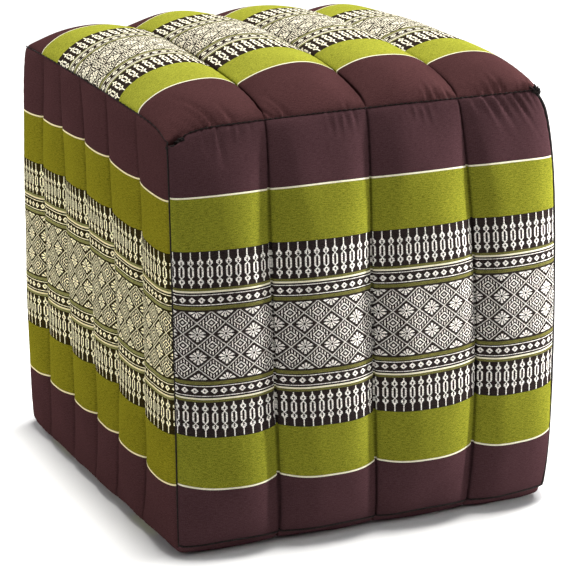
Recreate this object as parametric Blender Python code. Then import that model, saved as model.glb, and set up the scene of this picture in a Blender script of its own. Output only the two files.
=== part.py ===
# Quilted cube cushion: one filled solid with sewn channels on all six sides.
# Metres, +Z up. The front faces -Y, and the side with the narrower channels seen beside it faces -X.

import bpy
import numpy as np

# Driving dimensions

WIDTH = 0.392           # between the upright seams, along X
DEPTH = 0.415           # between the upright seams, along Y
SEAM_TOP = 0.4135       # height of the seams round the top
SEAM_LOW_FRONT = 0.008  # height of the seams round the foot, at the front
SEAM_LOW_BACK = 0.002   # and at the back
OFF_CENTRE_X = 0.0029   # moves the uneven body so that its box is centred
OFF_CENTRE_Y = -0.0010

BULGE_POWER_ACROSS = 0.55   # shape of the whole panel's bulge, whose edges are steep
BULGE_POWER_ALONG = 0.5

# Each panel: channels, power of a roll's cross-section (2 is a parabola, more is flatter), crown at the
# start and the end of a channel, lengths over which a channel's start and end round down to the edge
# seams, length over which the rolls even out at the start, and bulge of the whole panel. Upright panels
# start at the foot, and the top and the bottom start at the front. Millimetres.
PANELS = {
    #          channels, power, crown_start, crown_end, start_round, end_round, evened, bulge
    "front":  (4, 3.0, 13.0, 7.0, 60.0, 60.0, 0.0, 15.0),
    "back":   (4, 3.0, 13.0, 9.0, 60.0, 60.0, 0.0, 12.0),
    "left":   (6, 3.0, 9.0, 5.0, 12.0, 60.0, 30.0, -3.0),
    "right":  (6, 3.0, 9.0, 6.0, 15.0, 60.0, 30.0, 5.0),
    "top":    (4, 2.2, 17.0, 10.0, 65.0, 65.0, 0.0, 27.5),
    "bottom": (4, 2.2, 6.0, 6.0, 40.0, 40.0, 0.0, 0.0),
}
EVENED_EDGE = 0.3       # the evened part still rounds to the panel's own edges, with this power

# The bottom's channels are pressed flat on the floor. Its seams stay this high above the floor, from a
# short way inside the ends of the channels and inside the sides.
UNDER_SEAM = 0.003
UNDER_REACH_ENDS = 0.012
UNDER_REACH_SIDES = 0.008

# The channels are not filled alike: each one's share of its panel's crown
FILLING = {
    "front":  (1.0, 1.0, 1.0, 1.0),
    "back":   (1.05, 0.95, 1.0, 1.0),
    "left":   (1.1, 1.0, 1.0, 1.0, 1.0, 1.0),
    "right":  (1.0, 1.1, 0.95, 1.0, 1.05, 0.5),
    "top":    (1.0, 1.0, 1.0, 1.0),
    "bottom": (1.0, 1.0, 1.0, 1.0),
}

# How far each channel seam, edges included, stands off its even place, in millimetres. The columns are the
# seams across the panel, and the rows are the start, the middle and the end of the channels. Across means
# towards +X on the front, back, top and bottom, and towards -Y on the left and right.
SEAM_SHIFTS = {
    "front":  ((1, 6, 8, 9, 3), (-1, -5, -3, 8, 3), (-5, -8, -5, -8, -3)),
    "back":   ((-5, 2, 0, 3, 2), (-4, 3, -3, 2, 4), (-5, 1, -2, 1, -3)),
    "left":   ((0, 4, 9, 3, -10, -10, 0), (0, -10, -12, -12, -13, -7, 0), (0, -2, -14, -26, -24, -8, 0)),
    "right":  ((0, -2, 3, 0, 4, 2, 0), (0, 3, -3, 2, -4, 0, 0), (0, -3, 2, 4, 0, 2, 0)),
}

# Corners are drawn in by the sewing, in millimetres towards the cushion's middle along X, Y and Z, fading
# over the last number.
CORNER_PULLS = {
    #                      in_x, in_y, in_z, reach
    "left_front_top":     (0, 0, 14, 14),
    "right_front_top":    (15, 3, 0, 45),
    "left_back_top":      (4, 4, 4, 40),
    "right_back_top":     (9, 6, 5, 50),
    "left_front_bottom":  (1, 1, 0, 30),
    "right_front_bottom": (5, 4, 0, 35),
    "left_back_bottom":   (4, 4, 0, 35),
    "right_back_bottom":  (8, 5, 0, 35),
}

# The top's front seam sinks towards the left corner
SAG_DEPTH = 0.0035
SAG_REACH = 0.14
SAG_SQUASH = 2.5    # the sag fades this much faster downwards

# Mesh columns across one channel, closer together beside the seams, and rows along it
ACROSS_WIDE = (0.0, 0.05, 0.15, 0.31, 0.5, 0.69, 0.85, 0.95)
ACROSS_NARROW = (0.0, 0.09, 0.34, 0.66, 0.91)
ROWS_UPRIGHT = 22

CLOTH_COLOUR = (0.16, 0.17, 0.06, 1.0)
CLOTH_ROUGHNESS = 0.85


def quarter_round(distance, length):
    """0 at the edge seam, rising as a quarter circle to 1 at the given length."""
    share = np.clip(distance / length, 0.0, 1.0)
    return np.sqrt(1.0 - (1.0 - share) ** 2)


def through_three(v, start, middle, end):
    """The smooth curve through three values at v = 0, a half and 1."""
    return start * (1 - v) * (1 - 2 * v) + middle * 4 * v * (1 - v) + end * v * (2 * v - 1)


def seam_shift(table, u, v):
    """Sideways shift of the cloth at channel coordinate u, in metres."""
    rows = np.array(table, float) / 1000
    first = np.minimum(np.floor(u).astype(int), rows.shape[1] - 2)
    part = u - first
    before = through_three(v, rows[0][first], rows[1][first], rows[2][first])
    after = through_three(v, rows[0][first + 1], rows[1][first + 1], rows[2][first + 1])
    return before * (1 - part) + after * part


def foot_height(y):
    """Height of the seam round the foot."""
    back = y / DEPTH + 0.5
    return SEAM_LOW_FRONT * (1 - back) + SEAM_LOW_BACK * back


def edge_shift(name, side, v):
    """How far an upright edge of the front or the back stands off its even place along X."""
    return through_three(v, *(row[side] / 1000 for row in SEAM_SHIFTS[name]))


def shifts_along(name, row, u):
    """The shifts of a panel's seams along one of its ends, in metres."""
    table = np.array(SEAM_SHIFTS[name][row]) / 1000
    return np.interp(u, range(len(table)), table)


def swell(name, u, v, run):
    """How far the cloth stands out from the panel's flat, in metres."""
    channels, power, crown_start, crown_end, start_round, end_round, evened, bulge = PANELS[name]
    across = u / channels
    part = u - np.minimum(np.floor(u), channels - 1)
    filling = np.array(FILLING[name])[np.minimum(u, channels - 1).astype(int)]
    roll = filling * (1 - np.abs(2 * part - 1) ** power)
    if evened > 0:
        mean = power / (power + 1) * (4 * across * (1 - across)) ** EVENED_EDGE
        roll = roll + (mean - roll) * np.exp(-v * run * 1000 / evened)
    crown = (crown_start * (1 - v) + crown_end * v) * roll
    end = quarter_round(v * run, start_round / 1000) * quarter_round((1 - v) * run, end_round / 1000)
    round_across = (4 * across * (1 - across)) ** BULGE_POWER_ACROSS
    round_along = (4 * v * (1 - v)) ** BULGE_POWER_ALONG
    return (crown * end + bulge * round_across * round_along) / 1000


def upright_point(name, u, v):
    """A point of the front, back, left or right."""
    channels = PANELS[name][0]
    across = u / channels
    out = swell(name, u, v, SEAM_TOP)
    shift = seam_shift(SEAM_SHIFTS[name], u, v)
    if name in ("front", "back"):
        x = (across - 0.5) * WIDTH + shift
        y = -(DEPTH / 2 + out) if name == "front" else DEPTH / 2 + out
        foot = foot_height(-DEPTH / 2 if name == "front" else DEPTH / 2)
    else:
        y = (0.5 - across) * DEPTH - shift
        side = 0 if name == "left" else -1
        edge = edge_shift("front", side, v) * across + edge_shift("back", side, v) * (1 - across)
        x = edge + (WIDTH / 2 + out) * (-1 if name == "left" else 1)
        foot = foot_height(y)
    z = foot + v * (SEAM_TOP - foot)
    return x, y, z


def lying_point(name, u, v):
    """A point of the top or the bottom, whose v runs from the front to the back."""
    row = 2 if name == "top" else 0
    side_channels = PANELS["left"][0]
    front = shifts_along("front", row, u)
    back = shifts_along("back", row, u)
    left = shifts_along("left", row, side_channels * (1 - v))
    right = shifts_along("right", row, side_channels * (1 - v))
    across = u / PANELS[name][0]
    x = (across - 0.5) * WIDTH + front * (1 - v) + back * v
    y = (v - 0.5) * DEPTH - left * (1 - across) - right * across
    out = swell(name, u, v, DEPTH)
    if name == "top":
        return x, y, SEAM_TOP + out
    inside = quarter_round(np.minimum(v, 1 - v) * DEPTH, UNDER_REACH_ENDS)
    inside = inside * quarter_round(np.minimum(across, 1 - across) * WIDTH, UNDER_REACH_SIDES)
    level = foot_height(y) * (1 - inside) + UNDER_SEAM * inside
    return x, y, np.maximum(level - out, 0.0)


def drawn_in(x, y, z):
    """The point after the corners' pull and the sag of the top's front left."""
    points = np.stack([x, y, z * np.ones_like(x)], -1)
    moved = points.copy()
    for name, (in_x, in_y, in_z, reach) in CORNER_PULLS.items():
        side = -1 if name.startswith("left") else 1
        face = -1 if "front" in name else 1
        height = SEAM_TOP if name.endswith("top") else foot_height(face * DEPTH / 2)
        corner = np.array([side * WIDTH / 2, face * DEPTH / 2, height])
        far = np.linalg.norm(points - corner, axis=-1)
        fade = np.exp(-far * 1000 / reach)[..., None]
        inward = np.array([-side * in_x, -face * in_y, -in_z if height == SEAM_TOP else in_z])
        moved = moved + inward / 1000 * fade
    corner = np.array([-WIDTH / 2, -DEPTH / 2, SEAM_TOP])
    far = np.linalg.norm((points - corner) * np.array([1.0, 1.0, SAG_SQUASH]), axis=-1)
    moved[..., 2] = moved[..., 2] - SAG_DEPTH * np.exp(-(far / SAG_REACH) ** 2)
    moved[..., 2] = np.maximum(moved[..., 2], 0.0)
    return moved - np.array([OFF_CENTRE_X, OFF_CENTRE_Y, 0.0])


def panel_grid(name):
    """The panel's points as rows of columns."""
    channels = PANELS[name][0]
    parts = ACROSS_NARROW if name in ("left", "right") else ACROSS_WIDE
    u = np.array([i + part for i in range(channels) for part in parts] + [float(channels)])
    if name in ("top", "bottom"):
        side_channels = PANELS["left"][0]
        side = np.array([i + part for i in range(side_channels) for part in ACROSS_NARROW] + [side_channels])
        v = 1 - side[::-1] / side_channels
    else:
        v = 0.5 - 0.5 * np.cos(np.pi * np.linspace(0, 1, ROWS_UPRIGHT + 1))
    across, along = np.meshgrid(u, v)
    make = lying_point if name in ("top", "bottom") else upright_point
    return drawn_in(*make(name, across, along))


def add_panel(vertices, index, faces, name):
    """Adds one panel's quads, sharing the points that lie on a seam with its neighbours."""
    grid = panel_grid(name)
    rows, columns = grid.shape[:2]
    numbers = np.empty((rows, columns), int)
    for i in range(rows):
        for j in range(columns):
            key = tuple(np.round(grid[i, j], 6))
            if key not in index:
                index[key] = len(vertices)
                vertices.append(grid[i, j])
            numbers[i, j] = index[key]
    turned = name in ("back", "right", "bottom")
    for i in range(rows - 1):
        for j in range(columns - 1):
            quad = (numbers[i, j], numbers[i, j + 1], numbers[i + 1, j + 1], numbers[i + 1, j])
            faces.append(quad[::-1] if turned else quad)


def cloth_material():
    material = bpy.data.materials.new("cloth")
    material.use_nodes = True
    shader = material.node_tree.nodes["Principled BSDF"]
    shader.inputs["Base Color"].default_value = CLOTH_COLOUR
    shader.inputs["Roughness"].default_value = CLOTH_ROUGHNESS
    shader.inputs["Metallic"].default_value = 0.0
    return material


def make_cushion():
    vertices, index, faces = [], {}, []
    for name in PANELS:
        add_panel(vertices, index, faces, name)
    mesh = bpy.data.meshes.new("cushion")
    mesh.from_pydata([tuple(map(float, v)) for v in vertices], [], [tuple(map(int, f)) for f in faces])
    mesh.polygons.foreach_set("use_smooth", [True] * len(mesh.polygons))
    mesh.materials.append(cloth_material())
    mesh.update()
    cushion = bpy.data.objects.new("cushion", mesh)
    bpy.context.scene.collection.objects.link(cushion)
    return cushion


for old in list(bpy.data.objects):
    bpy.data.objects.remove(old, do_unlink=True)
make_cushion()
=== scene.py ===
# Looks of the quilted cube cushion: six sewn panels of banded cloth, their seams, puckers and stitches,
# on a pale studio floor. Metres, +Z up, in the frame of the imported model.

import math

import bpy
import numpy as np
from mathutils import Matrix, Vector


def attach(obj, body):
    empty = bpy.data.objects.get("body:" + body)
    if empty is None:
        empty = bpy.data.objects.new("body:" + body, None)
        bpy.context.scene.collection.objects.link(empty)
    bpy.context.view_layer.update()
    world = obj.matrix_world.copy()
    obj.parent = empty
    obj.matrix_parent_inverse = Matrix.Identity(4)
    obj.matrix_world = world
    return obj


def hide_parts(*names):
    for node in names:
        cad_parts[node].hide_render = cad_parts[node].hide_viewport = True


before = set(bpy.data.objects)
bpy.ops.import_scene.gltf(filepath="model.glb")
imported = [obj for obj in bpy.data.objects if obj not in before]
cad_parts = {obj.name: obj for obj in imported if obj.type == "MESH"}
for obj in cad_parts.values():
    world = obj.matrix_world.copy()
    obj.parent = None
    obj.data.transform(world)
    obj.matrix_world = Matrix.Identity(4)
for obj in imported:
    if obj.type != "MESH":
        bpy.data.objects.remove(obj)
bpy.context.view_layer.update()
scene = bpy.context.scene

# The cushion's shape, with the same values as its source

WIDTH = 0.392
DEPTH = 0.415
SEAM_TOP = 0.4135
SEAM_LOW_FRONT = 0.008
SEAM_LOW_BACK = 0.002
OFF_CENTRE_X = 0.0029
OFF_CENTRE_Y = -0.0010
BULGE_POWER_ACROSS = 0.55
BULGE_POWER_ALONG = 0.5

PANELS = {
    #          channels, power, crown_start, crown_end, start_round, end_round, evened, bulge
    "front":  (4, 3.0, 13.0, 7.0, 60.0, 60.0, 0.0, 15.0),
    "back":   (4, 3.0, 13.0, 9.0, 60.0, 60.0, 0.0, 12.0),
    "left":   (6, 3.0, 9.0, 5.0, 12.0, 60.0, 30.0, -3.0),
    "right":  (6, 3.0, 9.0, 6.0, 15.0, 60.0, 30.0, 5.0),
    "top":    (4, 2.2, 17.0, 10.0, 65.0, 65.0, 0.0, 27.5),
    "bottom": (4, 2.2, 6.0, 6.0, 40.0, 40.0, 0.0, 0.0),
}
EVENED_EDGE = 0.3
UNDER_SEAM = 0.003
UNDER_REACH_ENDS = 0.012
UNDER_REACH_SIDES = 0.008

FILLING = {
    "front":  (1.0, 1.0, 1.0, 1.0),
    "back":   (1.05, 0.95, 1.0, 1.0),
    "left":   (1.1, 1.0, 1.0, 1.0, 1.0, 1.0),
    "right":  (1.0, 1.1, 0.95, 1.0, 1.05, 0.5),
    "top":    (1.0, 1.0, 1.0, 1.0),
    "bottom": (1.0, 1.0, 1.0, 1.0),
}

SEAM_SHIFTS = {
    "front":  ((1, 6, 8, 9, 3), (-1, -5, -3, 8, 3), (-5, -8, -5, -8, -3)),
    "back":   ((-5, 2, 0, 3, 2), (-4, 3, -3, 2, 4), (-5, 1, -2, 1, -3)),
    "left":   ((0, 4, 9, 3, -10, -10, 0), (0, -10, -12, -12, -13, -7, 0), (0, -2, -14, -26, -24, -8, 0)),
    "right":  ((0, -2, 3, 0, 4, 2, 0), (0, 3, -3, 2, -4, 0, 0), (0, -3, 2, 4, 0, 2, 0)),
}

CORNER_PULLS = {
    #                      in_x, in_y, in_z, reach
    "left_front_top":     (0, 0, 14, 14),
    "right_front_top":    (15, 3, 0, 45),
    "left_back_top":      (4, 4, 4, 40),
    "right_back_top":     (9, 6, 5, 50),
    "left_front_bottom":  (1, 1, 0, 30),
    "right_front_bottom": (5, 4, 0, 35),
    "left_back_bottom":   (4, 4, 0, 35),
    "right_back_bottom":  (8, 5, 0, 35),
}

SAG_DEPTH = 0.0035
SAG_REACH = 0.14
SAG_SQUASH = 2.5

# How finely the cloth is modelled: columns in one channel and rows along the upright channels
COLUMNS_WIDE = 52
COLUMNS_NARROW = 36
ROWS_UPRIGHT = 210
CROWDING = 0.93         # how much closer together the columns are beside a seam
CROWDING_ALONG = 0.6

# Sewing, in millimetres
SEAM_GROOVE = (0.8, 1.8)     # depth and half width of the crease along each channel seam
SEAM_CREASE = (3.0, 0.55)    # the sharp fold in it, in which the thread lies
SIDE_CREASE = 0.35           # share of that fold on the left and right panels
STITCH_PITCH = 6.0
EDGE_TUCK = (1.7, 2.6)       # how far the edge seams are drawn in, and over what distance
FLAT_SEAMS = {("front", "top"): 0.2, ("left", "top"): 0.8}    # seams that are drawn in less
CORNER_GAP = (4.5, 19.0, 2.2)    # depth, length and half width of the opening at the top's near corner
STITCH_DIMPLE = 0.10         # how much the crease's depth changes from stitch to stitch, as a share
SEAM_LIP = (0.15, 2.4)       # height of the cloth beside the crease, and its place in groove half widths
RIPPLES = (0.22, 13.0, 7.0)  # height, pitch and reach of the ripples beside a channel seam
SMALL_PUCKERS = (0.42, 6.5)  # depth and reach of the fine puckers at a gathered seam
SIDE_PUCKERS = 0.5           # share of them at the edge seams that run along the channels
PUCKER_RIM = (0.55, 1.7, 1.1)    # height, place and half width of the rim beside a pucker, as shares of it
LUMP_HEIGHT = 0.55           # slow unevenness of the filling
HEM_REACH = 2.2              # the sewn detail fades out over this distance from a panel's edges

# A sewn-in corner: how far it is drawn inwards, and over what distance. Millimetres.
CORNER_TUCKS = {
    #                      in_x, in_y, in_z, reach
    "right_front_top":    (5.0, 0.0, 0.0, 11.0),
}

# The outward axis of each panel, and the panels beyond its start, its end and the first and the last seam
OUTWARD = {
    "front": (0, -1, 0), "back": (0, 1, 0), "left": (-1, 0, 0),
    "right": (1, 0, 0), "top": (0, 0, 1), "bottom": (0, 0, -1),
}
BEYOND = {
    #          start,   end,    first,   last
    "front":  ("bottom", "top", "left", "right"),
    "back":   ("bottom", "top", "left", "right"),
    "left":   ("bottom", "top", "back", "front"),
    "right":  ("bottom", "top", "back", "front"),
    "top":    ("front", "back", "left", "right"),
    "bottom": ("front", "back", "left", "right"),
}

# Puckers that show at the top's front seam: place from the left edge, sideways lean for each millimetre away
# from the seam, length, depth and half width. Millimetres.
PUCKERS_BELOW = (
    # at, lean, length, depth, half_width
    (20, 0.05, 9, 0.5, 1.6), (30, 0.0, 11, 0.7, 1.6), (39, 0.0, 14, 0.8, 1.5), (46, 0.0, 12, 0.7, 1.4),
    (53.5, 0.02, 22, 1.5, 1.7), (60, 0.0, 12, 0.9, 1.4), (66, 0.0, 14, 0.9, 1.5), (73, 0.0, 11, 0.6, 1.6),
    (84, 0.0, 9, 0.5, 1.6), (140, 0.05, 8, 0.4, 1.6), (164, 0.05, 13, 0.7, 1.6), (172, 0.05, 16, 0.9, 1.5),
    (180, 0.05, 13, 0.7, 1.5), (189, 0.08, 15, 0.8, 1.6), (246, 0.1, 12, 0.6, 1.5), (254, 0.1, 15, 0.9, 1.5),
    (262, 0.15, 13, 0.7, 1.5), (271, 0.15, 17, 0.9, 1.6), (281, 0.2, 12, 0.6, 1.5), (330, 0.3, 12, 0.6, 1.8),
    (343, 0.4, 23, 1.3, 2.0), (355, 0.45, 24, 1.4, 2.0), (365, 0.45, 13, 0.9, 1.6), (374, 0.52, 25, 1.6, 2.2),
    (384, 0.55, 15, 1.0, 1.8), (394, 0.5, 11, 0.8, 1.6),
)
PUCKER_STRENGTH = (2.4, 3.6)     # below and above the seam
PUCKERS_ABOVE = (
    # at, lean, length, depth, half_width
    (29, -0.9, 13, 0.8, 1.8), (40, -0.7, 16, 0.7, 1.8), (50, -0.6, 20, 0.8, 2.0), (60, -0.55, 34, 1.3, 2.4),
    (79, -0.5, 18, 0.6, 2.0), (121, -0.7, 20, 0.9, 2.2), (137, -0.5, 20, 0.9, 2.2), (196, -0.2, 9, 0.5, 1.8),
    (286, -0.3, 12, 0.7, 1.8), (296, -0.3, 14, 0.8, 1.8), (310, -0.3, 10, 0.6, 1.8),
    (352, -0.3, 10, 0.7, 1.8), (363, -0.3, 14, 0.9, 1.8), (372, -0.3, 17, 1.3, 1.8),
    (396, -0.1, 9, 0.7, 1.6), (406, 0.0, 12, 1.0, 1.6), (414, 0.1, 12, 1.0, 1.6),
)

# The banded cloth. Distances are from the middle of a panel's band group towards either edge, in
# millimetres. The tones are named in TONES.
CLOTH_LENGTH = 424.0
PATTERN_SHIFT = {"front": 1.5, "back": 0.0, "left": -1.1, "right": 0.5, "top": 4.0, "bottom": 0.0}
PATTERN_BOW = {"left": 6.0, "right": 4.0}      # how much higher the bands lie in the middle of the panel
PATTERN_SHRINK = {"left": 1.006, "right": 1.024}
REPEAT_PHASE = {"front": 16.0, "back": 3.0, "left": 5.0, "right": 0.0, "top": 6.0, "bottom": 0.0}
THREAD_ACROSS = 26.6 / 24
THREAD_ALONG = 0.93
BANDS = (
    # from, tone
    (0.0, "dark"), (34.5, "olive"), (37.5, "dark"), (51.1, "cream"), (52.5, "olive"),
    (55.0, "dark"), (90.5, "green"), (142.0, "cream"), (143.7, "brown"),
)
LATTICE_HALF = 33.0
LATTICE_PITCH = (26.6, 22.4)
FIGURE_THREADS = 8
FIGURE_BAND = (56.2, 90.5)
FIGURE_ROW = 1.0
DIAMOND_MIDDLE = 44.2
DIAMOND_HALF = (3.3, 3.2)
DIAMOND_HOLE = 0.32
THIN_LINES = (39.6, 49.3)      # a white line of one thread on each side of the diamonds
THIN_LINE_HALF = 0.36

TONES = {
    "brown": (0.083, 0.037, 0.041),
    "dark": (0.026, 0.018, 0.014),
    "green": (0.262, 0.268, 0.024),
    "olive": (0.215, 0.210, 0.075),
    "cream": (0.80, 0.76, 0.58),
    "white": (0.86, 0.82, 0.74),
}

FLOWER_HALF = 8.2
FLOWER_SQUASH = 1.20
FLOWER_PETALS = 10
FLOWER_EYE = 1.0        # radius of the dark middle
PETAL_GAP = 0.35        # petals lie where the cosine round the flower is below this
FLOWER_EDGE = 0.69      # petals end short of the lattice line, at this share of the tile
COMB_PITCH = 2.66
COMB_SHARE = 0.44       # light share of the comb's strokes
LINE_LIGHT = 0.70       # the thin lattice lines are greyer than the figures

# Painted light and shade: the front, top and left panels get their own lighter or darker copies of the
# cloth's tones, standing in for how the light falls on each
PANEL_LIGHT_AND_SHADE_TONES = {
    "front": {"brown": (0.054, 0.0257, 0.0288), "green": (0.173, 0.175, 0.0172), "white": (0.68, 0.65, 0.60),
              "cream": (0.70, 0.66, 0.50), "olive": (0.118, 0.112, 0.031), "dark": (0.021, 0.0155, 0.0145)},
    "top": {"brown": (0.0625, 0.0265, 0.0268), "green": (0.270, 0.279, 0.031), "white": (0.97, 0.91, 0.70)},
    "left": {"brown": (0.060, 0.026, 0.027), "green": (0.183, 0.164, 0.0115), "white": (0.98, 0.91, 0.60),
             "cream": (0.80, 0.71, 0.42), "dark": (0.026, 0.019, 0.006)},
}
# How uneven the yarn of each tone is. The nodes hold it as a share of GRAIN_SCALE.
GRAIN = {"brown": 1.1, "dark": 2.6, "green": 1.8, "olive": 2.0, "cream": 0.7, "white": 0.7}
GRAIN_SCALE = 4.0
WEAVE_PITCH = 0.8       # of the fine ridges of warp and weft

# Unevenness of the yarn: its scale across and along for each millimetre of cloth, and then the noise's own
# scale, detail and roughness
STREAKS = (0.22, 1.1, 1.0, 3.0, 0.6)
SPECKS = (0.9, 0.9, 1.3, 1.0, 0.6)
CLOUDS = (0.02, 0.03, 1.0, 2.0, 0.5)
SPECK_SHARE = 1.2
CLOUD_SHARE = 0.25

# Relief of the weave: shares of the ridges, the white floats and the streaks, and then its strength and its
# height in metres
RIDGE_RELIEF = 0.35
FLOAT_RELIEF = 0.9
STREAK_RELIEF = 0.8
CLOTH_BUMP = (0.5, 0.00025)
WEAVE_ROUGHNESS = 0.82

THREAD_TONES = ((0.006, 0.005, 0.005), (0.03, 0.024, 0.022))
THREAD_SCALE = 900.0
THREAD_BUMP = (0.6, 0.0004)
FLOOR_GREYS = (0.79, 0.81)

# One figure of the tall band, row by row from the green: rows, half width and hollow half width in threads
FIGURE = (
    (7, 0.5, 0.0), (1, 1.0, 0.0), (1, 1.6, 0.0), (1, 2.5, 0.6), (1, 2.5, 0.8), (1, 1.6, 0.3), (1, 0.6, 0.0),
    (1, 1.2, 0.0), (1, 1.9, 0.5), (8, 2.4, 1.1), (1, 1.9, 0.5), (1, 1.2, 0.0), (1, 0.6, 0.0), (1, 1.6, 0.0),
    (1, 2.3, 0.6), (1, 2.5, 0.9), (1, 2.3, 0.6), (1, 1.5, 0.0), (1, 1.0, 0.0), (2, 0.5, 0.0),
)
# Rings of a lattice tile, from its middle to its edge: from this share on, how light it is
COMB = 0.5             # stands for a ring of short strokes
COMB_MARGIN = 0.05
RINGS = ((0.0, 0.8), (0.14, 0), (0.30, 1), (0.44, 0), (0.57, COMB), (0.81, 0))
LATTICE_LINE = 0.94    # from this share of a tile on

# Camera, as fitted to the photograph: 580 pixels square, with the lens axis at this pixel
PICTURE = 580.0
AXIS_PIXEL = (275.8, 271.8)
FOCAL_PIXELS = 2500.0
SENSOR = 36.0
TARGET = (-0.0077, 0.0010, 0.200)
AZIMUTH = -23.51
ELEVATION = 16.68
DISTANCE = 2.524


# Shape functions

def quarter_round(distance, length):
    share = np.clip(distance / length, 0.0, 1.0)
    return np.sqrt(1.0 - (1.0 - share) ** 2)


def through_three(v, start, middle, end):
    return start * (1 - v) * (1 - 2 * v) + middle * 4 * v * (1 - v) + end * v * (2 * v - 1)


def seam_shift(table, u, v):
    rows = np.array(table, float) / 1000
    first = np.minimum(np.floor(u).astype(int), rows.shape[1] - 2)
    part = u - first
    before = through_three(v, rows[0][first], rows[1][first], rows[2][first])
    after = through_three(v, rows[0][first + 1], rows[1][first + 1], rows[2][first + 1])
    return before * (1 - part) + after * part


def foot_height(y):
    back = y / DEPTH + 0.5
    return SEAM_LOW_FRONT * (1 - back) + SEAM_LOW_BACK * back


def edge_shift(name, side, v):
    return through_three(v, *(row[side] / 1000 for row in SEAM_SHIFTS[name]))


def shifts_along(name, row, u):
    table = np.array(SEAM_SHIFTS[name][row]) / 1000
    return np.interp(u, range(len(table)), table)


def swell(name, u, v, run):
    channels, power, crown_start, crown_end, start_round, end_round, evened, bulge = PANELS[name]
    across = u / channels
    part = u - np.minimum(np.floor(u), channels - 1)
    filling = np.array(FILLING[name])[np.minimum(u, channels - 1).astype(int)]
    roll = filling * (1 - np.abs(2 * part - 1) ** power)
    if evened > 0:
        mean = power / (power + 1) * (4 * across * (1 - across)) ** EVENED_EDGE
        roll = roll + (mean - roll) * np.exp(-v * run * 1000 / evened)
    crown = (crown_start * (1 - v) + crown_end * v) * roll
    end = quarter_round(v * run, start_round / 1000) * quarter_round((1 - v) * run, end_round / 1000)
    round_across = (4 * across * (1 - across)) ** BULGE_POWER_ACROSS
    round_along = (4 * v * (1 - v)) ** BULGE_POWER_ALONG
    return (crown * end + bulge * round_across * round_along) / 1000


def upright_point(name, u, v):
    channels = PANELS[name][0]
    across = u / channels
    out = swell(name, u, v, SEAM_TOP)
    shift = seam_shift(SEAM_SHIFTS[name], u, v)
    if name in ("front", "back"):
        x = (across - 0.5) * WIDTH + shift
        y = -(DEPTH / 2 + out) if name == "front" else DEPTH / 2 + out
        foot = foot_height(-DEPTH / 2 if name == "front" else DEPTH / 2)
    else:
        y = (0.5 - across) * DEPTH - shift
        side = 0 if name == "left" else -1
        edge = edge_shift("front", side, v) * across + edge_shift("back", side, v) * (1 - across)
        x = edge + (WIDTH / 2 + out) * (-1 if name == "left" else 1)
        foot = foot_height(y)
    return x, y, foot + v * (SEAM_TOP - foot)


def lying_point(name, u, v):
    row = 2 if name == "top" else 0
    side_channels = PANELS["left"][0]
    across = u / PANELS[name][0]
    front = shifts_along("front", row, u)
    back = shifts_along("back", row, u)
    left = shifts_along("left", row, side_channels * (1 - v))
    right = shifts_along("right", row, side_channels * (1 - v))
    x = (across - 0.5) * WIDTH + front * (1 - v) + back * v
    y = (v - 0.5) * DEPTH - left * (1 - across) - right * across
    out = swell(name, u, v, DEPTH)
    if name == "top":
        return x, y, SEAM_TOP + out
    inside = quarter_round(np.minimum(v, 1 - v) * DEPTH, UNDER_REACH_ENDS)
    inside = inside * quarter_round(np.minimum(across, 1 - across) * WIDTH, UNDER_REACH_SIDES)
    level = foot_height(y) * (1 - inside) + UNDER_SEAM * inside
    return x, y, np.maximum(level - out, 0.0)


def drawn_in(points):
    moved = points.copy()
    for name, (in_x, in_y, in_z, reach) in CORNER_PULLS.items():
        side = -1 if name.startswith("left") else 1
        face = -1 if "front" in name else 1
        height = SEAM_TOP if name.endswith("top") else foot_height(face * DEPTH / 2)
        corner = np.array([side * WIDTH / 2, face * DEPTH / 2, height])
        far = np.linalg.norm(points - corner, axis=-1)
        fade = np.exp(-far * 1000 / reach)[..., None]
        inward = np.array([-side * in_x, -face * in_y, -in_z if height == SEAM_TOP else in_z])
        moved = moved + inward / 1000 * fade
    corner = np.array([-WIDTH / 2, -DEPTH / 2, SEAM_TOP])
    far = np.linalg.norm((points - corner) * np.array([1.0, 1.0, SAG_SQUASH]), axis=-1)
    moved[..., 2] = moved[..., 2] - SAG_DEPTH * np.exp(-(far / SAG_REACH) ** 2)
    moved[..., 2] = np.maximum(moved[..., 2], 0.0)
    return moved - np.array([OFF_CENTRE_X, OFF_CENTRE_Y, 0.0])


def crowded(count, crowding):
    """Shares from 0 to 1, closer together at both ends."""
    even = np.linspace(0, 1, count + 1)
    return even * (1 - crowding) + (0.5 - 0.5 * np.cos(np.pi * even)) * crowding


def channel_steps(channels, count):
    parts = crowded(count, CROWDING)[:-1]
    return np.array([i + part for i in range(channels) for part in parts] + [float(channels)])


def panel_steps(name):
    """The panel's column and row coordinates, which its neighbours share along their seams."""
    side_channels = PANELS["left"][0]
    if name in ("left", "right"):
        u = channel_steps(side_channels, COLUMNS_NARROW)
    else:
        u = channel_steps(PANELS[name][0], COLUMNS_WIDE)
    if name in ("top", "bottom"):
        v = 1 - channel_steps(side_channels, COLUMNS_NARROW)[::-1] / side_channels
    else:
        v = crowded(ROWS_UPRIGHT, CROWDING_ALONG)
    return u, v


def surface_normals(points, outward):
    """Outward normals of a grid of points."""
    normals = np.cross(np.gradient(points, axis=1), np.gradient(points, axis=0))
    normals /= np.maximum(np.linalg.norm(normals, axis=-1, keepdims=True), 1e-12)
    turned = np.sign(np.sum(normals * np.array(outward), axis=-1).sum())
    return normals * turned


def arc_lengths(points, axis):
    steps = np.linalg.norm(np.diff(points, axis=axis), axis=-1)
    lengths = np.cumsum(steps, axis=axis)
    first = np.zeros_like(np.take(lengths, [0], axis=axis))
    return np.concatenate([first, lengths], axis=axis)


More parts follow.
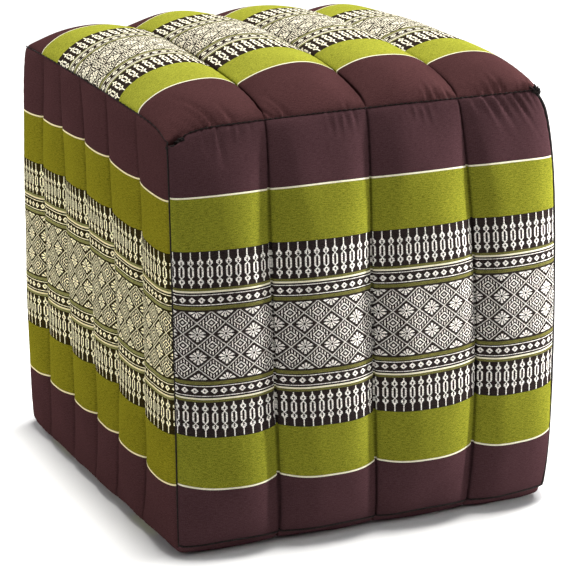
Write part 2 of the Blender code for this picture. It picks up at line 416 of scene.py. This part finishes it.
def pucker_field(place, away, table):
    """Depth of the puckers that a table lists, at places along a seam and distances away from it."""
    depth = np.zeros_like(place)
    rim_height, rim_place, rim_half = PUCKER_RIM
    for at, lean, length, deep, half_width in table:
        side = (place - at - lean * away) / half_width
        groove = np.exp(-side ** 2) - rim_height * np.exp(-((side + rim_place) / rim_half) ** 2)
        depth += deep * groove * np.exp(-(away / length) ** 2)
    return depth


def small_puckers(place, away, seed):
    """Depth of the fine, uneven puckers that any gathered seam has."""
    deep, reach = SMALL_PUCKERS
    wave = np.cos(place * 0.72 + 1.9 * np.sin(place * 0.061 + seed) + seed)
    strength = 0.5 + 0.5 * np.sin(place * 0.043 + 2.1 * seed)
    return deep * strength * wave * np.exp(-away / reach)


def lumps(across_mm, along_mm, seed):
    """Slow unevenness of the filling, outwards."""
    wave = np.sin(across_mm / 17.0 + seed) * np.sin(along_mm / 31.0 + 1.7 * seed)
    wave += 0.7 * np.sin(across_mm / 29.0 - along_mm / 23.0 + 2.3 * seed)
    wave += 0.5 * np.sin(across_mm / 11.0 + along_mm / 41.0 + 0.6 * seed)
    return LUMP_HEIGHT * wave


def tuck_depth(one, other):
    """How far the seam between two panels is drawn in."""
    return FLAT_SEAMS.get((one, other), FLAT_SEAMS.get((other, one), EDGE_TUCK[0]))


def edge_tuck(name, u, v, width_mm, height_mm):
    """How the edge seams are drawn in, in metres, the same on both panels at a seam."""
    across = u / PANELS[name][0]
    distance = {
        "start": v * height_mm, "end": (1 - v) * height_mm,
        "first": across * width_mm, "last": (1 - across) * width_mm,
    }
    facing = dict(zip(("start", "end", "first", "last"), BEYOND[name]))
    reach = EDGE_TUCK[1]
    own = np.array(OUTWARD[name], float)
    moved = np.zeros(np.shape(u) + (3,))
    for border, far in distance.items():
        fade = np.exp(-(far / reach) ** 1.3)[..., None]
        moved -= tuck_depth(name, facing[border]) * fade * (own + np.array(OUTWARD[facing[border]]))
    for end in ("start", "end"):
        for side in ("first", "last"):
            fade = np.exp(-(np.hypot(distance[end], distance[side]) / reach) ** 1.3)[..., None]
            both = np.array(OUTWARD[facing[end]]) + np.array(OUTWARD[facing[side]])
            moved -= tuck_depth(facing[end], facing[side]) * fade * both
    gap_depth, gap_length, gap_width = CORNER_GAP
    if name in ("front", "top"):
        away = distance["end" if name == "front" else "start"]
        along = np.clip(distance["first"] / gap_length, 0, 1)
        fade = (np.sin(np.pi * along) ** 0.8 * np.exp(-(away / gap_width) ** 2))[..., None]
        moved -= gap_depth * fade * (own + np.array(OUTWARD["top" if name == "front" else "front"]))
    return moved / 1000


def sewn_detail(name, u, v, across_mm, along_mm, width_mm, length_mm):
    """How far the sewing and the filling move the cloth outwards from the smooth panel, in millimetres."""
    seed = 1.0 + list(PANELS).index(name)
    channels = PANELS[name][0]
    near = np.round(u)
    inner = (near > 0.5) & (near < channels - 0.5)
    seam_off = np.abs(u - near) * width_mm / channels
    end_off = np.minimum(along_mm, length_mm - along_mm)
    groove_depth, groove_half = SEAM_GROOVE
    stitch = 1 + STITCH_DIMPLE * np.cos(2 * np.pi * along_mm / STITCH_PITCH)
    groove = groove_depth * stitch * np.exp(-(seam_off / groove_half) ** 1.35) * inner
    crease_depth, crease_half = SEAM_CREASE
    if name in ("left", "right"):
        crease_depth *= SIDE_CREASE
    groove += crease_depth * stitch * np.exp(-(seam_off / crease_half) ** 1.6) * inner
    lip_height, lip_place = SEAM_LIP
    lip = lip_height * np.exp(-((seam_off - lip_place * groove_half) / groove_half) ** 2) * inner
    ripple_height, ripple_pitch, ripple_reach = RIPPLES
    wave = np.cos(2 * np.pi * along_mm / ripple_pitch + 2.0 * np.sin(along_mm / 37.0 + seed))
    ripple = ripple_height * wave * np.exp(-seam_off / ripple_reach)
    out = lip - groove + ripple
    out += lumps(across_mm, along_mm, seed)
    if name == "front":
        out -= PUCKER_STRENGTH[0] * pucker_field(across_mm, length_mm - along_mm, PUCKERS_BELOW)
        out -= small_puckers(across_mm, along_mm, seed)
    elif name == "top":
        out -= PUCKER_STRENGTH[1] * pucker_field(across_mm, along_mm, PUCKERS_ABOVE)
        out -= small_puckers(across_mm, length_mm - along_mm, seed)
    else:
        out -= small_puckers(across_mm, along_mm, seed)
        out -= small_puckers(across_mm, length_mm - along_mm, seed + 2.0)
    side_off = np.minimum(across_mm, width_mm - across_mm)
    out -= SIDE_PUCKERS * small_puckers(along_mm, side_off, seed + 4.0)
    hem = (1 - np.exp(-end_off / HEM_REACH)) * (1 - np.exp(-side_off / HEM_REACH))
    return out * hem


def panel_cloth(name):
    """The panel's dressed points, and the place of each on the flat cloth in metres."""
    u, v = panel_steps(name)
    across, along = np.meshgrid(u, v)
    make = lying_point if name in ("top", "bottom") else upright_point
    smooth = np.stack([c * np.ones_like(across) for c in make(name, across, along)], -1)
    lengths = arc_lengths(smooth, 0)
    widths = arc_lengths(smooth, 1)
    share = lengths / lengths[-1:]
    middle = widths[len(v) // 2] * 1000
    across_mm = np.broadcast_to(middle, share.shape)
    length_mm = lengths[-1].mean() * 1000
    normals = surface_normals(smooth, OUTWARD[name])
    detail = sewn_detail(name, across, along, across_mm, share * length_mm, middle[-1], length_mm)
    tuck = edge_tuck(name, across, along, middle[-1], length_mm)
    if name == "bottom":
        detail = np.minimum(detail, 0.0)
    points = drawn_in(smooth) + normals * detail[..., None] / 1000 + tuck
    for corner, (in_x, in_y, in_z, reach) in CORNER_TUCKS.items():
        side = -1 if corner.startswith("left") else 1
        face = -1 if "front" in corner else 1
        place = np.array([side * WIDTH / 2, face * DEPTH / 2, SEAM_TOP])
        near = np.exp(-(np.linalg.norm(smooth - place, axis=-1) * 1000 / reach) ** 2)[..., None]
        points = points + np.array([-side * in_x, -face * in_y, -in_z]) / 1000 * near
    points[..., 2] = np.maximum(points[..., 2], 0.0)
    bow = PATTERN_BOW.get(name, 0.0) * np.sin(np.pi * across / PANELS[name][0])
    pattern_along = (share - 0.5) * CLOTH_LENGTH * PATTERN_SHRINK.get(name, 1.0) - PATTERN_SHIFT[name] - bow
    pattern_across = across_mm + REPEAT_PHASE[name]
    return points, pattern_across / 1000, pattern_along / 1000


# Mesh helpers

def mesh_object(name, points, faces, material, smooth=True):
    mesh = bpy.data.meshes.new(name)
    mesh.vertices.add(len(points))
    mesh.vertices.foreach_set("co", np.asarray(points, float).ravel())
    sides = faces.shape[1]
    mesh.loops.add(faces.size)
    mesh.loops.foreach_set("vertex_index", faces.ravel())
    mesh.polygons.add(len(faces))
    mesh.polygons.foreach_set("loop_start", np.arange(0, faces.size, sides))
    mesh.polygons.foreach_set("use_smooth", np.full(len(faces), smooth))
    mesh.materials.append(material)
    mesh.update(calc_edges=True)
    mesh.validate()
    piece = bpy.data.objects.new(name, mesh)
    scene.collection.objects.link(piece)
    return piece


def grid_faces(rows, columns, turned):
    index = np.arange(rows * columns).reshape(rows, columns)
    quads = np.stack([index[:-1, :-1], index[:-1, 1:], index[1:, 1:], index[1:, :-1]], -1).reshape(-1, 4)
    return quads[:, ::-1].copy() if turned else quads


def add_uv(piece, name, u, v):
    layer = piece.data.uv_layers.new(name=name)
    corners = np.empty(len(piece.data.loops), np.int32)
    piece.data.loops.foreach_get("vertex_index", corners)
    layer.data.foreach_set("uv", np.stack([u.ravel()[corners], v.ravel()[corners]], -1).ravel())


# Materials

class Graph:
    """A short way to write a material's nodes."""

    def __init__(self, name):
        self.material = bpy.data.materials.new(name)
        self.material.use_nodes = True
        self.tree = self.material.node_tree
        self.shader = self.tree.nodes["Principled BSDF"]

    def put(self, socket, value):
        if isinstance(value, bpy.types.NodeSocket):
            self.tree.links.new(value, socket)
        else:
            socket.default_value = value

    def math(self, operation, *values):
        node = self.tree.nodes.new("ShaderNodeMath")
        node.operation = operation
        for socket, value in zip(node.inputs, values):
            self.put(socket, value)
        return node.outputs[0]

    def ramp(self, value, stops, smooth=False):
        """Stops are (position, colour or grey)."""
        node = self.tree.nodes.new("ShaderNodeValToRGB")
        node.color_ramp.interpolation = "LINEAR" if smooth else "CONSTANT"
        elements = node.color_ramp.elements
        while len(elements) < len(stops):
            elements.new(0.5)
        for element, (position, tone) in zip(elements, stops):
            element.position = position
        for element, (position, tone) in zip(elements, stops):
            rgb = tone if isinstance(tone, tuple) else (tone,) * 3
            element.color = (*rgb, 1.0)
        self.put(node.inputs[0], value)
        return node.outputs[0]

    def mix(self, amount, first, second, blend="MIX"):
        node = self.tree.nodes.new("ShaderNodeMix")
        node.data_type = "RGBA"
        node.blend_type = blend
        self.put(node.inputs[0], amount)
        for socket, value in ((node.inputs[6], first), (node.inputs[7], second)):
            self.put(socket, (*value, 1.0) if isinstance(value, tuple) else value)
        return node.outputs[2]

    def noise(self, vector, scale, detail=2.0, rough=0.5):
        node = self.tree.nodes.new("ShaderNodeTexNoise")
        self.put(node.inputs["Vector"], vector)
        node.inputs["Scale"].default_value = scale
        node.inputs["Detail"].default_value = detail
        node.inputs["Roughness"].default_value = rough
        return node.outputs["Fac"]

    def combine(self, x, y, z=0.0):
        node = self.tree.nodes.new("ShaderNodeCombineXYZ")
        for socket, value in zip(node.inputs, (x, y, z)):
            self.put(socket, value)
        return node.outputs[0]

    def bump(self, height, strength, distance):
        node = self.tree.nodes.new("ShaderNodeBump")
        node.inputs["Strength"].default_value = strength
        node.inputs["Distance"].default_value = distance
        self.put(node.inputs["Height"], height)
        self.put(self.shader.inputs["Normal"], node.outputs[0])


def banded_cloth(panel):
    g = Graph(f"banded_cloth_{panel}")
    # Painted light and shade: the panel's lighter or darker copies of the tones replace the cloth's own tones
    tones = {**TONES, **PANEL_LIGHT_AND_SHADE_TONES.get(panel, {})}
    m = g.math
    uv = g.tree.nodes.new("ShaderNodeUVMap")
    uv.uv_map = "Cloth"
    split = g.tree.nodes.new("ShaderNodeSeparateXYZ")
    g.put(split.inputs[0], uv.outputs[0])
    across = m("MULTIPLY", split.outputs[0], 1000.0)
    along = m("MULTIPLY", split.outputs[1], 1000.0)
    off_middle = m("ABSOLUTE", along)

    def cell_middle(distance, pitch):
        """The middle of the woven cell that a distance lies in."""
        return m("MULTIPLY", m("ADD", m("FLOOR", m("DIVIDE", distance, pitch)), 0.5), pitch)

    def yarn(scale_across, scale_along, *settings):
        """Unevenness with its own scale across and along the cloth."""
        place = g.combine(m("MULTIPLY", across, scale_across), m("MULTIPLY", along, scale_along))
        return g.noise(place, *settings)

    # Threads: each woven cell has one tone
    column = m("FLOOR", m("DIVIDE", across, THREAD_ACROSS))
    off = cell_middle(off_middle, THREAD_ALONG)
    fine_across = cell_middle(across, THREAD_ACROSS / 2)
    fine_off = cell_middle(off_middle, THREAD_ALONG / 2)

    half = CLOTH_LENGTH / 2
    half_share = m("DIVIDE", off_middle, half)
    base = g.ramp(half_share, [(start / half, tones[tone]) for start, tone in BANDS])
    grain = g.ramp(half_share, [(start / half, GRAIN[tone] / GRAIN_SCALE) for start, tone in BANDS])

    # Tall figures
    repeat = m("MULTIPLY", m("ROUND", m("DIVIDE", column, FIGURE_THREADS)), FIGURE_THREADS)
    axis = m("MULTIPLY", m("ADD", repeat, 0.5), THREAD_ACROSS)
    sideways = m("ABSOLUTE", m("SUBTRACT", fine_across, axis))
    inner, outer = FIGURE_BAND
    rows = sum(count for count, *_ in FIGURE)
    depth = m("DIVIDE", m("SUBTRACT", outer, off), rows * FIGURE_ROW)
    starts = np.cumsum([0] + [count for count, *_ in FIGURE])[:-1] / rows
    wide = g.ramp(depth, [(s, w / FIGURE_THREADS) for s, (_, w, _) in zip(starts, FIGURE)])
    hollow = g.ramp(depth, [(s, h / FIGURE_THREADS) for s, (_, _, h) in zip(starts, FIGURE)])
    axis_share = m("DIVIDE", sideways, FIGURE_THREADS * THREAD_ACROSS)
    figure = m("MULTIPLY", m("LESS_THAN", axis_share, wide), m("GREATER_THAN", axis_share, hollow))
    in_figures = m("MULTIPLY", m("GREATER_THAN", off_middle, inner), m("LESS_THAN", off_middle, outer))
    figure = m("MULTIPLY", figure, in_figures)

    # Small hollow diamonds
    middle_off = m("ABSOLUTE", m("SUBTRACT", fine_off, DIAMOND_MIDDLE))
    lozenge = m("ADD", m("DIVIDE", sideways, DIAMOND_HALF[0]), m("DIVIDE", middle_off, DIAMOND_HALF[1]))
    diamond = m("MULTIPLY", m("LESS_THAN", lozenge, 1.0), m("GREATER_THAN", lozenge, DIAMOND_HOLE))
    for place in THIN_LINES:
        line_off = m("ABSOLUTE", m("SUBTRACT", off_middle, place))
        diamond = m("ADD", diamond, m("LESS_THAN", line_off, THIN_LINE_HALF))

    # Lattice of diamonds, filled in turn with rings and flowers
    pitch_across, pitch_along = LATTICE_PITCH
    turn_x = m("DIVIDE", fine_across, pitch_across)
    turn_y = m("DIVIDE", fine_off, pitch_along)
    fold_x = m("MULTIPLY", m("ABSOLUTE", m("SUBTRACT", turn_x, m("ROUND", turn_x))), 2.0)
    fold_y = m("MULTIPLY", m("ABSOLUTE", m("SUBTRACT", turn_y, m("ROUND", turn_y))), 2.0)
    spread = m("ADD", fold_x, fold_y)
    is_flower = m("GREATER_THAN", spread, 1.0)
    tile = m("SUBTRACT", 1.0, m("ABSOLUTE", m("SUBTRACT", spread, 1.0)))
    rings = g.ramp(tile, [(s, float(t)) for s, t in RINGS])
    above, below = (m("GREATER_THAN", rings, COMB - COMB_MARGIN), m("LESS_THAN", rings, COMB + COMB_MARGIN))
    comb = m("MULTIPLY", above, below)
    stroke = m("FRACT", m("DIVIDE", across, COMB_PITCH))
    strokes = m("MULTIPLY", comb, m("LESS_THAN", stroke, COMB_SHARE))
    ring_light = m("ADD", m("MULTIPLY", m("SUBTRACT", 1.0, comb), rings), strokes)
    petal_x = m("MULTIPLY", m("SUBTRACT", 1.0, fold_x), pitch_across / 2)
    petal_y = m("MULTIPLY", m("SUBTRACT", 1.0, fold_y), pitch_along / 2)
    petal_wave = m("COSINE", m("MULTIPLY", m("ARCTAN2", petal_y, petal_x), float(FLOWER_PETALS)))
    petal_y = m("MULTIPLY", petal_y, FLOWER_SQUASH)
    reach = m("SQRT", m("ADD", m("MULTIPLY", petal_x, petal_x), m("MULTIPLY", petal_y, petal_y)))
    in_flower = m("MULTIPLY", m("GREATER_THAN", reach, FLOWER_EYE), m("LESS_THAN", tile, FLOWER_EDGE))
    petal = m("MULTIPLY", m("LESS_THAN", petal_wave, PETAL_GAP), m("LESS_THAN", reach, FLOWER_HALF))
    petal = m("MULTIPLY", petal, in_flower)
    flower_part = m("MULTIPLY", is_flower, petal)
    ring_part = m("MULTIPLY", m("SUBTRACT", 1.0, is_flower), ring_light)
    line_part = m("MULTIPLY", m("GREATER_THAN", tile, LATTICE_LINE), LINE_LIGHT)
    lattice = m("MAXIMUM", m("ADD", flower_part, ring_part), line_part)
    lattice = m("MULTIPLY", lattice, m("LESS_THAN", off_middle, LATTICE_HALF))

    floats = m("MINIMUM", m("ADD", m("ADD", figure, diamond), lattice), 1.0)
    colour = g.mix(floats, base, tones["white"])

    # Heathered yarn: streaks along the weft and single threads that are lighter or darker
    streak = yarn(*STREAKS)
    speck = yarn(*SPECKS)
    cloud = yarn(*CLOUDS)
    uneven = m("ADD", m("SUBTRACT", streak, 0.5), m("MULTIPLY", m("SUBTRACT", speck, 0.5), SPECK_SHARE))
    tone = m("MULTIPLY", m("MULTIPLY", uneven, grain), GRAIN_SCALE)
    tone = m("ADD", tone, m("MULTIPLY", m("SUBTRACT", cloud, 0.5), CLOUD_SHARE))
    tone = m("ADD", 1.0, tone)
    colour = g.mix(1.0, colour, g.combine(tone, tone, tone), "MULTIPLY")
    g.put(g.shader.inputs["Base Color"], colour)

    # Weave: warp and weft ridges, with the white floats standing proud
    warp = m("SINE", m("MULTIPLY", across, 2 * math.pi / WEAVE_PITCH))
    weft = m("SINE", m("MULTIPLY", along, 2 * math.pi / WEAVE_PITCH))
    ridges = m("MULTIPLY", warp, weft)
    height = m("ADD", m("MULTIPLY", ridges, RIDGE_RELIEF), m("MULTIPLY", floats, FLOAT_RELIEF))
    height = m("ADD", height, m("MULTIPLY", streak, STREAK_RELIEF))
    g.bump(height, *CLOTH_BUMP)
    g.shader.inputs["Roughness"].default_value = WEAVE_ROUGHNESS
    g.shader.inputs["Specular IOR Level"].default_value = 0.0
    return g.material


def thread_cloth():
    g = Graph("dark_thread")
    place = g.tree.nodes.new("ShaderNodeTexCoord").outputs["Object"]
    grain = g.noise(place, THREAD_SCALE)
    colour = g.ramp(grain, list(zip((0.3, 0.75), THREAD_TONES)), True)
    g.put(g.shader.inputs["Base Color"], colour)
    g.bump(grain, *THREAD_BUMP)
    g.shader.inputs["Roughness"].default_value = 0.8
    g.shader.inputs["Specular IOR Level"].default_value = 0.1
    return g.material


def floor_paint():
    g = Graph("pale_floor")
    place = g.tree.nodes.new("ShaderNodeTexCoord").outputs["Object"]
    grain = g.noise(place, 3.0)
    colour = g.ramp(grain, list(zip((0.3, 0.7), FLOOR_GREYS)), True)
    g.put(g.shader.inputs["Base Color"], colour)
    g.shader.inputs["Roughness"].default_value = 0.9
    return g.material


# Pieces

def make_panel(name, material):
    points, cloth_across, cloth_along = panel_cloth(name)
    rows, columns = points.shape[:2]
    faces = grid_faces(rows, columns, name in ("back", "right", "bottom"))
    piece = mesh_object(f"panel_{name}", points.reshape(-1, 3), faces, material)
    add_uv(piece, "Cloth", cloth_across, cloth_along)
    return piece, points


def tube_mesh(paths, sides=6):
    """Points and faces of closed tubes round paths of (points, radii)."""
    all_points, all_faces, first = [], [], 0
    for path, radii in paths:
        path = np.asarray(path, float)
        ahead = np.gradient(path, axis=0)
        ahead /= np.linalg.norm(ahead, axis=1, keepdims=True)
        helper = np.array([0.0, 0.0, 1.0]) if abs(ahead[0][2]) < 0.8 else np.array([1.0, 0.0, 0.0])
        one = np.cross(ahead, helper)
        one /= np.linalg.norm(one, axis=1, keepdims=True)
        two = np.cross(ahead, one)
        angles = np.linspace(0, 2 * np.pi, sides, endpoint=False)
        ring = np.cos(angles)[None, :, None] * one[:, None] + np.sin(angles)[None, :, None] * two[:, None]
        points = path[:, None] + ring * np.asarray(radii)[:, None, None]
        count = len(path)
        index = first + np.arange(count * sides).reshape(count, sides)
        after = np.roll(index, -1, axis=1)
        all_faces.append(np.stack([index[:-1], after[:-1], after[1:], index[1:]], -1).reshape(-1, 4))
        all_points.append(points.reshape(-1, 3))
        tips = np.array([path[0] - ahead[0] * radii[0] * 0.6, path[-1] + ahead[-1] * radii[-1] * 0.6])
        all_points.append(tips)
        low, high = first + count * sides, first + count * sides + 1
        for k in range(0, sides, 2):
            a, b, c = index[0][k], index[0][(k + 1) % sides], index[0][(k + 2) % sides]
            all_faces.append(np.array([[low, c, b, a]]))
            a, b, c = index[-1][k], index[-1][(k + 1) % sides], index[-1][(k + 2) % sides]
            all_faces.append(np.array([[high, a, b, c]]))
        first += count * sides + 2
    return np.concatenate(all_points), np.concatenate(all_faces)


def resample(line, step):
    """Points at even steps along a line, and the distance of each from its start."""
    far = np.concatenate([[0], np.cumsum(np.linalg.norm(np.diff(line, axis=0), axis=1))])
    count = max(2, int(far[-1] / step))
    marks = np.linspace(0, far[-1], count + 1)
    return np.stack([np.interp(marks, far, line[:, k]) for k in range(3)], -1), marks


def seam_line(grids, name, border):
    """A panel's border points."""
    grid = grids[name]
    return {"start": grid[0], "end": grid[-1], "first": grid[:, 0], "last": grid[:, -1]}[border]


def running_stitches(line, outward, pitch, length, radius):
    """Short threads laid along a seam, each a little aslant."""
    paths = []
    fine, marks = resample(line, STITCH_STEP)
    side = np.array(outward, float)
    before, after = STITCH_MARGINS
    for k, start in enumerate(np.arange(before, marks[-1] - after, pitch)):
        sway = 0.5 * math.sin(2.7 * k) + 0.5 * math.sin(1.13 * k + 1.0)
        steps = start + length * (1 + 0.18 * sway) * np.linspace(0, 1, STITCH_POINTS)
        path = np.stack([np.interp(steps, marks, fine[:, i]) for i in range(3)], -1)
        rise = np.sin(np.linspace(0, np.pi, STITCH_POINTS))
        path = path + side * (STITCH_LIFT * (rise * 0.5 + 0.5))[:, None]
        path[:, 2] += STITCH_LEAN * (1 + 0.5 * sway) * np.linspace(-0.5, 0.5, STITCH_POINTS)
        paths.append((path, radius * (0.75 + 0.25 * rise)))
    return paths


def thread_tangles(line, marks):
    """Short loops of thread in every direction round the places that TANGLES lists."""
    paths = []
    for at, length, width, loops in TANGLES:
        middle = np.array([np.interp(at / 1000, marks, line[:, k]) for k in range(3)])
        for k in range(loops):
            turn = 2.4 * k + at
            reach = 0.5 + 0.5 * abs(math.sin(3.1 * k + at))
            side = np.array([math.cos(turn) * length, 0.0, math.sin(turn) * width]) * reach / 2000
            offset = np.array([math.sin(1.7 * k) * length, 0.0, math.cos(2.3 * k) * width]) / 5000
            steps = np.linspace(-1, 1, TANGLE_POINTS)[:, None]
            bow = np.array([-side[2], 0.0, side[0]]) * 0.35
            path = middle + offset + steps * side + (1 - steps ** 2) * bow
            path += np.array(TANGLE_OUT) * (1.2 - steps ** 2)
            paths.append((path, np.full(TANGLE_POINTS, TANGLE_RADIUS / 1000)))
    return paths


thread = thread_cloth()
grids = {}
for panel in PANELS:
    piece, grids[panel] = make_panel(panel, banded_cloth(panel))
    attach(piece, "root")
    if panel == "front":
        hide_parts("cushion")

# Threads along the edge seams: panel, border, outward, radius of the seam's thread, and the pitch, length
# and radius of the hand stitches over it, or None. Millimetres.
EDGE_SEAMS = (
    ("front", "end", (0, -0.7, 0.7), 0.32, (5.2, 3.2, 0.42)),
    ("left", "end", (-0.7, 0, 0.7), 0.35, (9.0, 2.6, 0.5)),
    ("back", "end", (0, 0.7, 0.7), 0.6, (5.2, 4.0, 0.55)),
    ("right", "end", (0.7, 0, 0.7), 0.6, (5.2, 4.0, 0.55)),
    ("front", "start", (0, -0.7, -0.2), 1.0, None),
    ("left", "start", (-0.7, 0, -0.2), 0.4, None),
    ("back", "start", (0, 0.7, -0.2), 1.0, None),
    ("right", "start", (0.7, 0, -0.2), 1.0, None),
    ("front", "first", (-0.7, -0.7, 0), 0.7, None),
    ("front", "last", (2.2, -0.7, 0), 1.7, None),
    ("back", "first", (-0.7, 0.7, 0), 1.0, None),
    ("back", "last", (0.7, 0.7, 0), 1.0, None),
)
# Tangles of thread at the ends of the top's front seam: place along the seam from its left end, length along
# the seam, width across it and how many loops. Millimetres.
TANGLES = (
    # at, length, width, loops
    (8.0, 8.0, 2.6, 8), (16.0, 8.0, 3.6, 9), (20.0, 5.0, 2.6, 5),
    (383.0, 6.0, 3.0, 6), (391.0, 9.0, 10.0, 18),
)
TANGLE_RADIUS = 0.75
TANGLE_POINTS = 7
FOOT_THREAD_ROW = 6      # the row of the front panel's points along which the thread of its foot seam shows

# Metres
TANGLE_OUT = (0.0012, -0.0040, 0.0016)    # how far the loops stand out from the seam
STITCH_LIFT = 0.0016                      # how far a stitch arches over the seam
STITCH_LEAN = 0.0006                      # how much higher one of its ends lies
STITCH_STEP = 0.0005
STITCH_MARGINS = (0.004, 0.006)           # without stitches at the start and the end of a seam
STITCH_POINTS = 6
CORD_STEP = 0.003
CORD_OUT = 0.0005                         # how far the seam's thread stands out of it

stitches, cords = [], []
for panel, border, outward, radius, stitching in EDGE_SEAMS:
    line = seam_line(grids, panel, border)
    if (panel, border) == ("front", "start"):
        line = grids[panel][FOOT_THREAD_ROW]
    if stitching:
        pitch, length, thread_radius = (size / 1000 for size in stitching)
        stitches += running_stitches(line, outward, pitch, length, thread_radius)
    fine, marks = resample(line, CORD_STEP)
    cords.append((fine + np.array(outward) * CORD_OUT, np.full(len(marks), radius / 1000)))
    if (panel, border) == ("front", "end"):
        stitches += thread_tangles(fine, marks)

points, faces = tube_mesh(stitches)
hand_stitches = mesh_object("hand_stitches", points, faces, thread)
points, faces = tube_mesh(cords)
seam_cords = mesh_object("seam_cords", points, faces, thread)
for piece in (hand_stitches, seam_cords):
    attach(piece, "root")

# Floor, light and camera

FLOOR_HALF = 9.0
corners = [(FLOOR_HALF * x, FLOOR_HALF * y, 0.0) for x, y in ((-1, -1), (1, -1), (1, 1), (-1, 1))]
floor = mesh_object("floor", corners, np.array([[0, 1, 2, 3]]), floor_paint(), False)

WORLD_LIGHT = 0.07
world = bpy.data.worlds.new("studio")
world.use_nodes = True
background = world.node_tree.nodes["Background"]
background.inputs[0].default_value = (1.0, 1.0, 1.0, 1.0)
background.inputs[1].default_value = WORLD_LIGHT
scene.world = world


def add_sun(name, toward, strength, softness, tint):
    """A soft light that shines from the direction toward."""
    data = bpy.data.lights.new(name, "SUN")
    data.energy = strength
    data.angle = math.radians(softness)
    data.color = tint
    lamp = bpy.data.objects.new(name, data)
    lamp.rotation_euler = Vector(toward).to_track_quat("Z", "Y").to_euler()
    scene.collection.objects.link(lamp)


def add_softbox(name, place, aim, width, height, power, spread):
    """A softbox. A small spread keeps its light near the line of its aim."""
    data = bpy.data.lights.new(name, "AREA")
    data.shape = "RECTANGLE"
    data.size = width
    data.size_y = height
    data.energy = power
    data.spread = math.radians(spread)
    lamp = bpy.data.objects.new(name, data)
    lamp.location = place
    lamp.rotation_euler = (Vector(place) - Vector(aim)).to_track_quat("Z", "Y").to_euler()
    scene.collection.objects.link(lamp)


add_sun("overhead", (0.04, -0.005, 1.0), 3.9, 10.0, (1.0, 0.99, 0.97))
SOFTBOXES = (
    # name, place, aim, width, height, power in watts, spread in degrees
    ("right_strip", (1.15, -0.356, 0.30), (0.0, -0.356, 0.30), 0.05, 0.5, 3.2, 32.0),
    ("front_fill", (-0.2, -1.3, 1.3), (0.0, -0.2, 0.4), 0.8, 0.8, 3.0, 180.0),
    ("right_key", (1.7, 0.9, 1.75), (0.05, 0.0, 0.4), 1.3, 1.3, 76.0, 180.0),
    ("left_fill", (-1.5, 0.35, 0.55), (-0.2, 0.0, 0.2), 0.8, 0.8, 5.5, 180.0),
    ("left_strip", (-0.30, 1.15, 0.23), (-0.2, 0.0, 0.23), 0.06, 0.42, 6.5, 180.0),
)
for softbox in SOFTBOXES:
    add_softbox(*softbox)

azimuth, elevation = math.radians(AZIMUTH), math.radians(ELEVATION)
back = Vector((
    math.sin(azimuth) * math.cos(elevation), -math.cos(azimuth) * math.cos(elevation), math.sin(elevation)))
right = Vector((math.cos(azimuth), math.sin(azimuth), 0.0))
up = back.cross(right)
camera_data = bpy.data.cameras.new("camera")
camera_data.sensor_width = SENSOR
camera_data.lens = SENSOR * FOCAL_PIXELS / PICTURE
camera_data.shift_x = (PICTURE / 2 - AXIS_PIXEL[0]) / PICTURE
camera_data.shift_y = (AXIS_PIXEL[1] - PICTURE / 2) / PICTURE
camera_data.clip_end = 100.0
camera = bpy.data.objects.new("camera", camera_data)
scene.collection.objects.link(camera)
camera_turn = Matrix((right, up, back)).transposed().to_4x4()
camera.matrix_world = Matrix.Translation(Vector(TARGET) + back * DISTANCE) @ camera_turn
scene.camera = camera
scene.view_settings.view_transform = "Standard"

bpy.context.view_layer.update()
